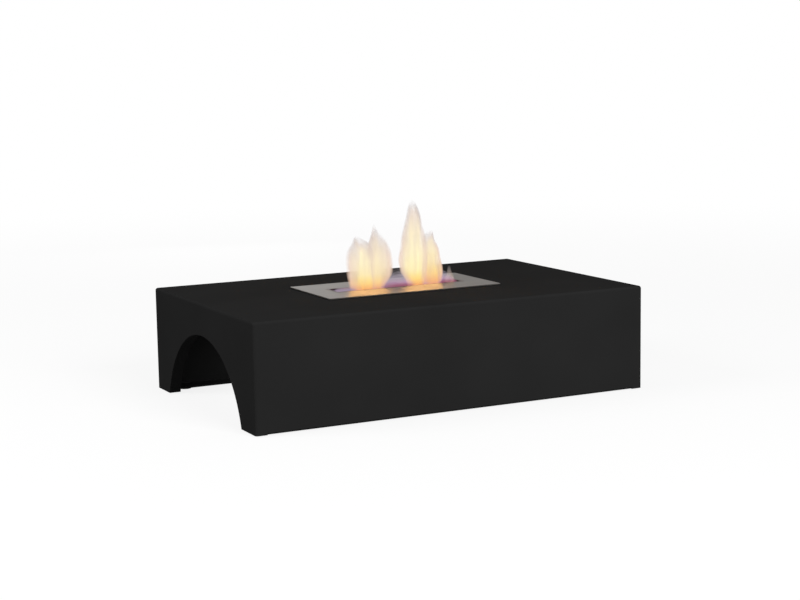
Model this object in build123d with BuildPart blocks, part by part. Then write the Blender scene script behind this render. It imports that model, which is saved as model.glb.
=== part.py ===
"""Bioethanol fireplace: a low welded steel bridge with an arch through each end, and a slot
burner that drops into its top.

Millimetres. The origin lies on the floor under the middle of the body. +X runs along the length to
the right end, -Y is the front and +Z is up. The regulator shutter is open and the burner is lit.
"""
import os

from build123d import *

os.makedirs("parts", exist_ok=True)

# Body, welded from steel sheet
BODY_LENGTH = 800.0
BODY_DEPTH = 500.0
TOP_HEIGHT = 200.0  # floor to top surface
SHEET = 3.0  # thickness of every body panel
BEND_RADIUS = 2.0  # inside each folded edge
FOLD_LAND = 4.0  # flat sheet from a bend to the weld beside it
BOTTOM_RETURN = 40.0  # inward fold under the front and back walls
ARCH_RADIUS = 191.0
ARCH_APEX = 141.0  # height of the arch's crown above the floor
ARCH_RETURN_DEPTH = 22.0  # from the end's outer face to the strip's inner edge
RIB_WIDTH = 25.0  # each side of the angle ribs under the top
RIB_CLEARANCE = 12.0  # from the well's flange to the ribs

# Rubber pads under the four corners
PAD_HEIGHT = 2.0
PAD_RADIUS = 12.0
PAD_INSET_X = 12.0  # from the arch strip to the pad's rim
PAD_INSET_Y = 14.0  # from the outer wall face to the pad's rim

# Burner plate and its slot
PLATE_THICKNESS = 2.0
PLATE_CORNER = 4.0
SLOT_LENGTH = 264.0
SLOT_WIDTH = 42.0
SLOT_CORNER = 5.0
CUTOUT_GAP = 4.0  # from the burner's casing to the hole in the top
CUTOUT_CORNER = 6.0
RIM_OVERLAP = 12.0  # plate beyond the hole in the top
GASKET_THICKNESS = 1.0
GASKET_WIDTH = 8.0
GASKET_INSET = 2.0  # from the plate's edge

# Regulator shutter and the two runners that carry it
SHUTTER_THICKNESS = 1.5
SHUTTER_LAP = 5.0  # past the slot's front and back edges when shut
SHUTTER_END_LAP = 6.0  # past the slot's ends
SHUTTER_PLAY = 0.3  # above and below the shutter
SHUTTER_SIDE_PLAY = 0.5
TAB_WIDTH = 24.0
TAB_THICKNESS = 1.5
TAB_RISE = 3.0  # above the plate's top face
TAB_PLAY = 0.5  # to the slot's edges at both ends of the travel
RUNNER_THICKNESS = 1.5
RUNNER_LEDGE = 5.0  # under the shutter's end
RUNNER_FLANGE = 8.0  # welded to the plate
RUNNER_OVERRUN = 2.0  # past the shutter's travel

# Casing, fuel chambers, fibre wicks and perforated covers
CASING_WALL = 1.5
CASING_END_GAP = 16.5  # from the runners to the casing's ends
CASING_SIDE_GAP = 9.0  # from the open shutter to the casing's back
CHAMBER_WALL = 1.0
CHAMBER_HEIGHT = 56.0
CHAMBER_SPACING = 4.0  # between the two chambers
CHAMBER_SIDE = 9.0  # chamber beyond the slot's front and back edges
WICK_CLEARANCE = 0.5
COVER_THICKNESS = 1.0
COVER_CLEARANCE = 0.2  # below the runners
COVER_HOLE_RADIUS = 2.0
COVER_HOLE_SPACING = 8.0

# Well that the burner stands in, bolted under the top
WELL_WALL = 1.5
WELL_GAP = 6.0  # round and under the burner's casing
WELL_FLANGE = 16.0
WELL_VENT_RADIUS = 5.0
WELL_VENT_COUNT = 6
WELL_VENT_SPACING = 48.0
STUD_RADIUS = 2.5
STUD_SPACING = 130.0  # along each long flange
STUD_ROW_COUNT = 3
STUD_TIP = 3.0  # beyond the nut
STUD_HOLE_CLEARANCE = 0.3
THREAD_CLEARANCE = 0.05
NUT_ACROSS_FLATS = 8.0
NUT_HEIGHT = 5.0

# Flames. Each level of a tongue has its middle along X, its height and its half width. The first and
# last are shares of the slot's half length, and the height is a share of the tallest tongue's.
FLAME_HEIGHT = 170.0  # the tallest tongue, over the perforated covers
FLAME_GAP = 2.5  # from the flames to the open shutter and to the slot's front edge
FLAME_TONGUES = {
    "flame_left_outer": [(-0.602, 0, 0.162), (-0.61, 0.25, 0.178), (-0.602, 0.46, 0.155), (-0.62, 0.61, 0.02)],
    "flame_left_inner": [(-0.235, 0, 0.17), (-0.222, 0.27, 0.186), (-0.25, 0.56, 0.135), (-0.318, 0.74, 0.012)],
    "flame_right_tall": [(0.299, 0, 0.178), (0.295, 0.3, 0.19), (0.322, 0.66, 0.15), (0.31, 1, 0.012)],
    "flame_right_short": [(0.655, 0, 0.138), (0.645, 0.26, 0.124), (0.618, 0.5, 0.085), (0.622, 0.63, 0.015)],
    "flame_right_tiny": [(0.9, 0, 0.078), (0.892, 0.11, 0.052), (0.9, 0.2, 0.008)],
}

# Levels, from the top surface down
PLATE_UNDERSIDE = TOP_HEIGHT + GASKET_THICKNESS
PLATE_TOP = PLATE_UNDERSIDE + PLATE_THICKNESS
SHUTTER_TOP = PLATE_UNDERSIDE - SHUTTER_PLAY
SHUTTER_BASE = SHUTTER_TOP - SHUTTER_THICKNESS
LEDGE_TOP = SHUTTER_BASE - SHUTTER_PLAY
LEDGE_BASE = LEDGE_TOP - RUNNER_THICKNESS
COVER_TOP = LEDGE_BASE - COVER_CLEARANCE
CHAMBER_TOP = COVER_TOP - COVER_THICKNESS
CASING_FLOOR = CHAMBER_TOP - CHAMBER_HEIGHT
CASING_BASE = CASING_FLOOR - CASING_WALL
WELL_FLOOR = CASING_BASE - WELL_GAP
TOP_UNDERSIDE = TOP_HEIGHT - SHEET
ARCH_CENTRE = ARCH_APEX - ARCH_RADIUS

# The shutter's travel carries its tab from the slot's back edge to its front edge
SHUTTER_TRAVEL = SLOT_WIDTH - 2 * TAB_PLAY - TAB_THICKNESS
SHUTTER_DEPTH = SLOT_WIDTH + 2 * SHUTTER_LAP
SHUTTER_LENGTH = SLOT_LENGTH + 2 * SHUTTER_END_LAP
SHUTTER_FRONT = SHUTTER_TRAVEL - SHUTTER_DEPTH / 2
SHUTTER_BACK = SHUTTER_FRONT + SHUTTER_DEPTH
TAB_Y = SLOT_WIDTH / 2 - TAB_PLAY - TAB_THICKNESS / 2

# Outlines that follow from the slot and the shutter
RUNNER_INNER = SHUTTER_LENGTH / 2 + SHUTTER_SIDE_PLAY
RUNNER_OUTER = RUNNER_INNER + RUNNER_THICKNESS + RUNNER_FLANGE
RUNNER_LENGTH = SHUTTER_DEPTH + SHUTTER_TRAVEL + 2 * RUNNER_OVERRUN
RUNNER_MIDDLE = SHUTTER_TRAVEL / 2
CASING_LENGTH = 2 * (RUNNER_OUTER + CASING_END_GAP + CASING_WALL)
CASING_DEPTH = 2 * (SHUTTER_BACK + CASING_SIDE_GAP + CASING_WALL)
CUTOUT_LENGTH = CASING_LENGTH + 2 * CUTOUT_GAP
CUTOUT_DEPTH = CASING_DEPTH + 2 * CUTOUT_GAP
PLATE_LENGTH = CUTOUT_LENGTH + 2 * RIM_OVERLAP
PLATE_DEPTH = CUTOUT_DEPTH + 2 * RIM_OVERLAP
CHAMBER_LENGTH = (SLOT_LENGTH - CHAMBER_SPACING) / 2
CHAMBER_DEPTH = SLOT_WIDTH + 2 * CHAMBER_SIDE
CHAMBER_X = (CHAMBER_LENGTH + CHAMBER_SPACING) / 2
FLAME_HALF_DEPTH = (SHUTTER_FRONT + SLOT_WIDTH / 2) / 2 - FLAME_GAP
FLAME_MIDDLE_Y = (SHUTTER_FRONT - SLOT_WIDTH / 2) / 2
WELL_LENGTH = CASING_LENGTH + 2 * (WELL_GAP + WELL_WALL)
WELL_DEPTH = CASING_DEPTH + 2 * (WELL_GAP + WELL_WALL)
STUD_ROW_SPACING = WELL_DEPTH + WELL_FLANGE
RIB_X = WELL_LENGTH / 2 + WELL_FLANGE + RIB_CLEARANCE
EDGE_RADIUS = SHEET + BEND_RADIUS
FOLD_DEPTH = EDGE_RADIUS + FOLD_LAND
FOLD_BASE = TOP_HEIGHT - FOLD_DEPTH
WALL_INSIDE = BODY_DEPTH / 2 - SHEET
END_HALF_WIDTH = BODY_DEPTH / 2 - FOLD_DEPTH
RIB_LENGTH = 2 * (WALL_INSIDE - BEND_RADIUS)
INSIDE_LENGTH = BODY_LENGTH - 2 * SHEET
RETURN_LENGTH = BODY_LENGTH - 2 * ARCH_RETURN_DEPTH
PAD_X = BODY_LENGTH / 2 - ARCH_RETURN_DEPTH - PAD_INSET_X - PAD_RADIUS
PAD_Y = BODY_DEPTH / 2 - PAD_INSET_Y - PAD_RADIUS

SIDES = {"left": -1, "right": 1}


# Top panel: folded down all round to a narrow rim that stands on the walls, with the burner's hole
with BuildPart() as top_panel:
    with BuildSketch(Plane.XY.offset(FOLD_BASE)):
        RectangleRounded(BODY_LENGTH, BODY_DEPTH, EDGE_RADIUS)
    extrude(amount=FOLD_DEPTH)
    fillet(top_panel.faces().sort_by(Axis.Z)[-1].edges(), EDGE_RADIUS)
    with BuildSketch(Plane.XY.offset(FOLD_BASE)):
        RectangleRounded(INSIDE_LENGTH, 2 * WALL_INSIDE, BEND_RADIUS)
    extrude(amount=TOP_UNDERSIDE - FOLD_BASE, mode=Mode.SUBTRACT)
    underside = top_panel.faces().filter_by(Axis.Z).sort_by(Axis.Z)[1]
    fillet(underside.edges(), BEND_RADIUS)
    with BuildSketch(Plane.XY.offset(TOP_UNDERSIDE)):
        RectangleRounded(CUTOUT_LENGTH, CUTOUT_DEPTH, CUTOUT_CORNER)
    extrude(amount=SHEET, mode=Mode.SUBTRACT)
top_panel.part.label = "top_panel"
export_step(top_panel.part, "parts/top_panel.step")

# Front and back walls: folded round the corners to meet the ends, and inward along the bottom
for name, side in {"front_panel": -1, "back_panel": 1}.items():
    outer_y = side * BODY_DEPTH / 2
    with BuildPart() as wall:
        with BuildSketch(Plane.XY.offset(PAD_HEIGHT)):
            RectangleRounded(BODY_LENGTH, BODY_DEPTH, EDGE_RADIUS)
            RectangleRounded(INSIDE_LENGTH, 2 * WALL_INSIDE, BEND_RADIUS, mode=Mode.SUBTRACT)
            with Locations((0, outer_y)):
                Rectangle(BODY_LENGTH, 2 * FOLD_DEPTH, mode=Mode.INTERSECT)
        extrude(amount=FOLD_BASE - PAD_HEIGHT)

        # The bottom fold takes the place of the wall's square lower edge, between the arch strips
        with BuildSketch(Plane.YZ.offset(-RETURN_LENGTH / 2)):
            with Locations((outer_y, PAD_HEIGHT)):
                Rectangle(2 * SHEET, 2 * EDGE_RADIUS)
        extrude(amount=RETURN_LENGTH, mode=Mode.SUBTRACT)
        with BuildSketch(Plane.YZ.offset(-RETURN_LENGTH / 2)):
            with Locations((0, PAD_HEIGHT + BOTTOM_RETURN)):
                RectangleRounded(BODY_DEPTH, 2 * BOTTOM_RETURN, EDGE_RADIUS)
                RectangleRounded(
                    2 * WALL_INSIDE, 2 * (BOTTOM_RETURN - SHEET), BEND_RADIUS, mode=Mode.SUBTRACT
                )
            with Locations((outer_y, PAD_HEIGHT)):
                Rectangle(2 * BOTTOM_RETURN, 2 * EDGE_RADIUS, mode=Mode.INTERSECT)
        extrude(amount=RETURN_LENGTH)
    wall.part.label = name
    export_step(wall.part, f"parts/{name}.step")

# Ends: flat panels between the folds of the walls, each with an arch that reaches the floor
for side_name, side in SIDES.items():
    with BuildPart() as end_panel:
        with BuildSketch(Plane.YZ.offset(side * BODY_LENGTH / 2)):
            with Locations((0, PAD_HEIGHT)):
                Rectangle(2 * END_HALF_WIDTH, FOLD_BASE - PAD_HEIGHT, align=(Align.CENTER, Align.MIN))
            with Locations((0, ARCH_CENTRE)):
                Circle(ARCH_RADIUS, mode=Mode.SUBTRACT)
        extrude(amount=-side * SHEET)
    end_panel.part.label = f"{side_name}_end_panel"
    export_step(end_panel.part, f"parts/{side_name}_end_panel.step")

    # Rolled strip welded behind the arch's edge, down to the foot
    with BuildPart() as arch_return:
        with BuildSketch(Plane.YZ.offset(side * (BODY_LENGTH / 2 - SHEET))):
            with Locations((0, ARCH_CENTRE)):
                Circle(ARCH_RADIUS + SHEET)
                Circle(ARCH_RADIUS, mode=Mode.SUBTRACT)
            with Locations((0, PAD_HEIGHT)):
                Rectangle(BODY_DEPTH, TOP_HEIGHT, align=(Align.CENTER, Align.MIN), mode=Mode.INTERSECT)
        extrude(amount=-side * (ARCH_RETURN_DEPTH - SHEET))
    arch_return.part.label = f"{side_name}_arch_return"
    export_step(arch_return.part, f"parts/{side_name}_arch_return.step")

    # Angle rib under the top, beside the well, from bend to bend
    with BuildPart() as top_rib:
        with BuildSketch(Plane.XZ.offset(-RIB_LENGTH / 2)):
            with Locations((side * RIB_X, TOP_UNDERSIDE)):
                corner = (Align.MIN if side > 0 else Align.MAX, Align.MAX)
                Rectangle(RIB_WIDTH, SHEET, align=corner)
                Rectangle(SHEET, RIB_WIDTH, align=corner)
        extrude(amount=RIB_LENGTH)
    top_rib.part.label = f"top_rib_{side_name}"
    export_step(top_rib.part, f"parts/top_rib_{side_name}.step")

# Rubber pads under the folded returns
for end_name, end in SIDES.items():
    for wall_name, wall_side in {"front": -1, "back": 1}.items():
        with BuildPart() as foot_pad:
            with BuildSketch(Plane.XY):
                with Locations((end * PAD_X, wall_side * PAD_Y)):
                    Circle(PAD_RADIUS)
            extrude(amount=PAD_HEIGHT)
        foot_pad.part.label = f"foot_pad_{wall_name}_{end_name}"
        export_step(foot_pad.part, f"parts/foot_pad_{wall_name}_{end_name}.step")

# Burner well: an open box with vents, and a flange bolted under the top
with BuildPart() as burner_well:
    with BuildSketch(Plane.XY.offset(TOP_UNDERSIDE)):
        Rectangle(WELL_LENGTH + 2 * WELL_FLANGE, WELL_DEPTH + 2 * WELL_FLANGE)
    extrude(amount=-WELL_WALL)
    with BuildSketch(Plane.XY.offset(TOP_UNDERSIDE)):
        Rectangle(WELL_LENGTH, WELL_DEPTH)
    extrude(amount=WELL_FLOOR - WELL_WALL - TOP_UNDERSIDE)
    with BuildSketch(Plane.XY.offset(TOP_UNDERSIDE)):
        Rectangle(WELL_LENGTH - 2 * WELL_WALL, WELL_DEPTH - 2 * WELL_WALL)
    extrude(amount=WELL_FLOOR - TOP_UNDERSIDE, mode=Mode.SUBTRACT)
    with BuildSketch(Plane.XY.offset(TOP_UNDERSIDE)):
        with GridLocations(STUD_SPACING, STUD_ROW_SPACING, STUD_ROW_COUNT, 2):
            Circle(STUD_RADIUS + STUD_HOLE_CLEARANCE)
    extrude(amount=-WELL_WALL, mode=Mode.SUBTRACT)
    with BuildSketch(Plane.XZ):
        with Locations((0, (CASING_BASE + TOP_UNDERSIDE) / 2)):
            with GridLocations(WELL_VENT_SPACING, WELL_VENT_SPACING, WELL_VENT_COUNT, 1):
                Circle(WELL_VENT_RADIUS)
    extrude(amount=WELL_DEPTH, both=True, mode=Mode.SUBTRACT)
burner_well.part.label = "burner_well"
export_step(burner_well.part, "parts/burner_well.step")

# Weld studs under the top, and the nuts that hold the well's flange up against it
NUT_TOP = TOP_UNDERSIDE - WELL_WALL
with BuildPart() as well_studs:
    with BuildSketch(Plane.XY.offset(TOP_UNDERSIDE)):
        with GridLocations(STUD_SPACING, STUD_ROW_SPACING, STUD_ROW_COUNT, 2):
            Circle(STUD_RADIUS)
    extrude(amount=-(WELL_WALL + NUT_HEIGHT + STUD_TIP))
well_studs.part.label = "well_studs"
export_step(well_studs.part, "parts/well_studs.step")

with BuildPart() as well_nuts:
    with BuildSketch(Plane.XY.offset(NUT_TOP)):
        with GridLocations(STUD_SPACING, STUD_ROW_SPACING, STUD_ROW_COUNT, 2):
            RegularPolygon(NUT_ACROSS_FLATS / 2, 6, major_radius=False)
            Circle(STUD_RADIUS + THREAD_CLEARANCE, mode=Mode.SUBTRACT)
    extrude(amount=-NUT_HEIGHT)
well_nuts.part.label = "well_nuts"
export_step(well_nuts.part, "parts/well_nuts.step")

# Fibre gasket between the burner plate's rim and the top
with BuildPart() as rim_gasket:
    with BuildSketch(Plane.XY.offset(TOP_HEIGHT)):
        RectangleRounded(PLATE_LENGTH - 2 * GASKET_INSET, PLATE_DEPTH - 2 * GASKET_INSET, GASKET_INSET)
        Rectangle(
            PLATE_LENGTH - 2 * (GASKET_INSET + GASKET_WIDTH),
            PLATE_DEPTH - 2 * (GASKET_INSET + GASKET_WIDTH),
            mode=Mode.SUBTRACT,
        )
    extrude(amount=GASKET_THICKNESS)
rim_gasket.part.label = "rim_gasket"
export_step(rim_gasket.part, "parts/rim_gasket.step")

# Burner plate with the slot that the flames rise through
with BuildPart() as burner_plate:
    with BuildSketch(Plane.XY.offset(PLATE_UNDERSIDE)):
        RectangleRounded(PLATE_LENGTH, PLATE_DEPTH, PLATE_CORNER)
        RectangleRounded(SLOT_LENGTH, SLOT_WIDTH, SLOT_CORNER, mode=Mode.SUBTRACT)
    extrude(amount=PLATE_THICKNESS)
burner_plate.part.label = "burner_plate"
export_step(burner_plate.part, "parts/burner_plate.step")

# Casing: a tray welded under the plate
with BuildPart() as burner_casing:
    with BuildSketch(Plane.XY.offset(CASING_BASE)):
        Rectangle(CASING_LENGTH, CASING_DEPTH)
    extrude(amount=PLATE_UNDERSIDE - CASING_BASE)
    with BuildSketch(Plane.XY.offset(CASING_FLOOR)):
        Rectangle(CASING_LENGTH - 2 * CASING_WALL, CASING_DEPTH - 2 * CASING_WALL)
    extrude(amount=PLATE_UNDERSIDE - CASING_FLOOR, mode=Mode.SUBTRACT)
burner_casing.part.label = "burner_casing"
export_step(burner_casing.part, "parts/burner_casing.step")

for side_name, side in SIDES.items():
    # Fuel chamber: an open cup on the casing's floor
    with BuildPart() as fuel_chamber:
        with BuildSketch(Plane.XY.offset(CASING_FLOOR)):
            with Locations((side * CHAMBER_X, 0)):
                Rectangle(CHAMBER_LENGTH, CHAMBER_DEPTH)
        extrude(amount=CHAMBER_HEIGHT)
        with BuildSketch(Plane.XY.offset(CASING_FLOOR + CHAMBER_WALL)):
            with Locations((side * CHAMBER_X, 0)):
                Rectangle(CHAMBER_LENGTH - 2 * CHAMBER_WALL, CHAMBER_DEPTH - 2 * CHAMBER_WALL)
        extrude(amount=CHAMBER_HEIGHT - CHAMBER_WALL, mode=Mode.SUBTRACT)
    fuel_chamber.part.label = f"fuel_chamber_{side_name}"
    export_step(fuel_chamber.part, f"parts/fuel_chamber_{side_name}.step")

    # Ceramic fibre that soaks up the fuel
    with BuildPart() as wick_pad:
        with BuildSketch(Plane.XY.offset(CASING_FLOOR + CHAMBER_WALL)):
            with Locations((side * CHAMBER_X, 0)):
                Rectangle(
                    CHAMBER_LENGTH - 2 * (CHAMBER_WALL + WICK_CLEARANCE),
                    CHAMBER_DEPTH - 2 * (CHAMBER_WALL + WICK_CLEARANCE),
                )
        extrude(amount=CHAMBER_HEIGHT - CHAMBER_WALL)
    wick_pad.part.label = f"wick_pad_{side_name}"
    export_step(wick_pad.part, f"parts/wick_pad_{side_name}.step")

    # Perforated cover on the chamber's rim
    hole_columns = int((CHAMBER_LENGTH - COVER_HOLE_SPACING) / COVER_HOLE_SPACING)
    hole_rows = int((CHAMBER_DEPTH - COVER_HOLE_SPACING) / COVER_HOLE_SPACING)
    with BuildPart() as wick_cover:
        with BuildSketch(Plane.XY.offset(CHAMBER_TOP)):
            with Locations((side * CHAMBER_X, 0)):
                Rectangle(CHAMBER_LENGTH, CHAMBER_DEPTH)
                with GridLocations(COVER_HOLE_SPACING, COVER_HOLE_SPACING, hole_columns, hole_rows):
                    Circle(COVER_HOLE_RADIUS, mode=Mode.SUBTRACT)
        extrude(amount=COVER_THICKNESS)
    wick_cover.part.label = f"wick_cover_{side_name}"
    export_step(wick_cover.part, f"parts/wick_cover_{side_name}.step")

    # Z-shaped runner under the plate, its ledge below the shutter's end
    inward = Align.MAX if side > 0 else Align.MIN
    outward = Align.MIN if side > 0 else Align.MAX
    with BuildPart() as runner:
        with BuildSketch(Plane.XZ.offset(-(RUNNER_MIDDLE + RUNNER_LENGTH / 2))):
            with Locations((side * RUNNER_INNER, LEDGE_BASE)):
                Rectangle(RUNNER_THICKNESS, PLATE_UNDERSIDE - LEDGE_BASE, align=(outward, Align.MIN))
                Rectangle(RUNNER_LEDGE, RUNNER_THICKNESS, align=(inward, Align.MIN))
            with Locations((side * RUNNER_INNER, PLATE_UNDERSIDE)):
                Rectangle(RUNNER_THICKNESS + RUNNER_FLANGE, RUNNER_THICKNESS, align=(outward, Align.MAX))
        extrude(amount=RUNNER_LENGTH)
    runner.part.label = f"runner_{side_name}"
    export_step(runner.part, f"parts/runner_{side_name}.step")

# Regulator shutter, open behind the slot, and the tab that a hook pulls it by
with BuildPart() as regulator_shutter:
    with BuildSketch(Plane.XY.offset(SHUTTER_BASE)):
        with Locations((0, SHUTTER_FRONT)):
            Rectangle(SHUTTER_LENGTH, SHUTTER_DEPTH, align=(Align.CENTER, Align.MIN))
    extrude(amount=SHUTTER_THICKNESS)
regulator_shutter.part.label = "regulator_shutter"
export_step(regulator_shutter.part, "parts/regulator_shutter.step")

with BuildPart() as regulator_tab:
    with BuildSketch(Plane.XY.offset(SHUTTER_TOP)):
        with Locations((0, TAB_Y)):
            Rectangle(TAB_WIDTH, TAB_THICKNESS)
    extrude(amount=PLATE_TOP + TAB_RISE - SHUTTER_TOP)
regulator_tab.part.label = "regulator_tab"
export_step(regulator_tab.part, "parts/regulator_tab.step")

# Flames: one closed shape for each tongue, standing on the perforated covers
for name, levels in FLAME_TONGUES.items():
    widest = max(half_width for _, _, half_width in levels)
    with BuildPart() as tongue:
        for x, height, half_width in levels:
            with BuildSketch(Plane.XY.offset(COVER_TOP + height * FLAME_HEIGHT)):
                with Locations((x * SLOT_LENGTH / 2, FLAME_MIDDLE_Y)):
                    Ellipse(half_width * SLOT_LENGTH / 2, FLAME_HALF_DEPTH * half_width / widest)
        loft()
    tongue.part.label = name
    export_step(tongue.part, f"parts/{name}.step")
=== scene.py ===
# %% [markdown]
# # A bioethanol fireplace: black steel bridge, stainless slot burner, flames
#
# The object is a low bridge of powder-coated steel sheet, 800 mm long, with an arch through each end.
# A stainless burner drops into its top, and flames rise through the burner's slot.
# The construction comes packed as a fixed frame in metres. This script dresses that frame: it gives
# every sheet its finish, and makes what a maker would not draw as plain solids, which are the rolled
# threads, the chamfered nuts, the fibre in the fuel chambers and the flames themselves.

from math import cos, pi, radians, sin

import bpy
import numpy as np
from mathutils import Matrix, Vector


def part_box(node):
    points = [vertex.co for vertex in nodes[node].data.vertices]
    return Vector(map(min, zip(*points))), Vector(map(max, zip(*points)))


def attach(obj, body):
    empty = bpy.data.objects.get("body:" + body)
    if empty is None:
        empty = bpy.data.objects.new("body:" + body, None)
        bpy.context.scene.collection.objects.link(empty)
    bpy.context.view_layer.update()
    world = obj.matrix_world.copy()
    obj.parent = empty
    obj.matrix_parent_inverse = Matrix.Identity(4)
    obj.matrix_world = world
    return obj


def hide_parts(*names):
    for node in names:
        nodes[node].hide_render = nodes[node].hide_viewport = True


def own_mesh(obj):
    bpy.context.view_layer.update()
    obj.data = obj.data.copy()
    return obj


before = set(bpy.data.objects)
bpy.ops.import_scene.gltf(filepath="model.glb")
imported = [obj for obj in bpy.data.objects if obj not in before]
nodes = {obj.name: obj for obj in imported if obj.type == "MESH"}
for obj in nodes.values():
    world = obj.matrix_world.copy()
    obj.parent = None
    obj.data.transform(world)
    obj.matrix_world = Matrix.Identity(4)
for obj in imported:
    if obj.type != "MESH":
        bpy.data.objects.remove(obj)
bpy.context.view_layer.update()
scene = bpy.context.scene
MM = 0.001

# %% [markdown]
# ## Colour and shader nodes
#
# Paint charts and photographs give a colour as sRGB hex, but a renderer adds up light in linear
# values, so one function converts. A second one adds any shader node with its settings and links. With
# it, each finish below reads as a list: first the patterns, then what they drive, the shader last.

# %% Colour and node helpers
MIX_A, MIX_B, MIX_RESULT = 6, 7, 2  # a Mix node's colour sockets, whose names also stand for others


def linear(hex_colour):
    """An sRGB hex colour as linear RGBA: a channel c is ((c + 0.055) / 1.055) ** 2.4, or c / 12.92
    where it is nearly black."""
    channels = [int(hex_colour[i : i + 2], 16) / 255 for i in (1, 3, 5)]
    values = [c / 12.92 if c <= 0.04045 else ((c + 0.055) / 1.055) ** 2.4 for c in channels]
    return (*values, 1.0)


def add(tree, kind, inputs=None, stops=(), **settings):
    """Add a shader node and give its outputs. Settings are the node's own properties, inputs are
    sockets to set or to link, and stops are the places and hex colours of a colour ramp."""
    made = tree.nodes.new("ShaderNode" + kind)
    for name, value in settings.items():
        setattr(made, name, value)
    for socket, value in (inputs or {}).items():
        if isinstance(value, bpy.types.NodeSocket):
            tree.links.new(value, made.inputs[socket])
        else:
            made.inputs[socket].default_value = value
    for position, _ in stops[1:-1]:
        made.color_ramp.elements.new(position)
    for index, (position, colour) in enumerate(stops):
        made.color_ramp.elements[index].position = position
        made.color_ramp.elements[index].color = linear(colour)
    return made.outputs


def new_material(name):
    """A material with an empty tree of nodes, and the Object coordinates that its patterns lie on."""
    made = bpy.data.materials.new(name)
    made.use_nodes = True
    made.node_tree.nodes.clear()
    return made, made.node_tree, add(made.node_tree, "TexCoord")["Object"]


def paint(material, *names):
    """Give the named CAD nodes one material."""
    for name in names:
        mesh = nodes[name].data
        mesh.materials.clear()
        mesh.materials.append(material)
    print(material.name, "on", len(names), "pieces:", ", ".join(names))


print("middle grey #808080 is", round(linear("#808080")[0], 3), "in linear light")

# %% [markdown]
# ## Camera
#
# The photograph looks down on the fireplace from the front left, from a little over three metres away.
# A pinhole camera fitted to the corners of the body gave the place, the lens and the small roll.

# %% Camera
CAMERA_PLACE = (-1.499, -2.9528, 0.6747)
CAMERA_TURN = radians(27.06)  # from +Y towards +X
CAMERA_TILT = radians(8.60)  # below the horizon
CAMERA_ROLL = radians(-0.93)
CAMERA_LENS = 78.05  # mm
SENSOR_WIDTH = 36.0  # mm
SIGHT_LIMIT = 60.0  # metres, past the floor's far corner

forward = np.array(
    [sin(CAMERA_TURN) * cos(CAMERA_TILT), cos(CAMERA_TURN) * cos(CAMERA_TILT), -sin(CAMERA_TILT)]
)
level_right = np.array([cos(CAMERA_TURN), -sin(CAMERA_TURN), 0.0])
level_up = np.cross(level_right, forward)
camera_right = cos(CAMERA_ROLL) * level_right + sin(CAMERA_ROLL) * level_up
camera_axes = np.column_stack([camera_right, np.cross(camera_right, forward), -forward])

camera = bpy.data.objects.new("camera", bpy.data.cameras.new("camera"))
camera.data.lens = CAMERA_LENS
camera.data.sensor_width = SENSOR_WIDTH
camera.data.clip_end = SIGHT_LIMIT
camera.matrix_world = Matrix.Translation(CAMERA_PLACE) @ Matrix(camera_axes.tolist()).to_4x4()
scene.collection.objects.link(camera)
scene.camera = camera
print("camera at", CAMERA_PLACE, "with a", CAMERA_LENS, "mm lens")

# %% [markdown]
# ## Floor, room and lamps
#
# The photograph is a studio shot on pure white. The white comes from the floor and the room being
# painted white for rays that the camera sends out, straight or by way of metal and glass, so no extra
# light falls on the object. Round the body a small share of the floor stays real paint, which keeps a
# soft shadow; farther out it fades into the white, as the cove of a studio does.
#
# The lamps are large soft boxes: one from the front right and above, which lights the top and the long
# wall alike, and a weaker one high on the left for the arched end. A small weak one inside the body
# faces down, and the floor throws its light back up. The flames light the steel themselves.
#
# Brushed steel would mirror these lamps as glare, far brighter than white, from some sides. So metal
# reflects only the white room, and one faint box low behind, whose sheen lies on the burner's left.

# %% Floor and room
FLOOR_HALF_SIZE = 40.0  # metres
FLOOR_SEEN, FLOOR_SHED = "#FAFAFA", "#8C8C8C"  # its paint to the camera, and to the light on the object
FLOOR_GLOW_SHARE = 0.85  # round the object, of what the camera sees; the rest is lit paint
FLOOR_FADE = {"From Min": 0.5, "From Max": 4.0}  # metres out, between which the paint turns to white
ROOM_LIGHT = 0.3  # strength of the room's light on the object, where 1 is white


def seen_directly(tree):
    """1 for rays from the camera and for those that metal or glass sends on, else 0."""
    path = add(tree, "LightPath")
    pair = {0: path["Is Camera Ray"], 1: path["Is Glossy Ray"]}
    either = add(tree, "Math", pair, operation="MAXIMUM")["Value"]
    return add(tree, "Math", {0: either, 1: path["Is Transmission Ray"]}, operation="MAXIMUM")["Value"]


corners = FLOOR_HALF_SIZE * np.array([(-1, -1, 0), (1, -1, 0), (1, 1, 0), (-1, 1, 0)])
floor_mesh = bpy.data.meshes.new("floor")
floor_mesh.from_pydata(corners.tolist(), [], [(0, 1, 2, 3)])
floor = bpy.data.objects.new("floor", floor_mesh)
scene.collection.objects.link(floor)

floor_paint, tree, place = new_material("pale_matt_floor")
direct = seen_directly(tree)
tone = {"Factor": direct, MIX_A: linear(FLOOR_SHED), MIX_B: linear(FLOOR_SEEN)}
paint_colour = add(tree, "Mix", tone, data_type="RGBA")[MIX_RESULT]
matt = add(tree, "BsdfDiffuse", {"Color": paint_colour})["BSDF"]
glow = add(tree, "Emission", {"Strength": 1.0})["Emission"]
distance = add(tree, "VectorMath", {0: place}, operation="LENGTH")["Value"]
fade = {"Value": distance, "To Min": FLOOR_GLOW_SHARE, **FLOOR_FADE}
backdrop = add(tree, "MapRange", fade, interpolation_type="SMOOTHSTEP")["Result"]
glow_share = add(tree, "Math", {0: direct, 1: backdrop}, operation="MULTIPLY")["Value"]
surface = add(tree, "MixShader", {0: glow_share, 1: matt, 2: glow})["Shader"]
add(tree, "OutputMaterial", {"Surface": surface})
floor_mesh.materials.append(floor_paint)

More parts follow.
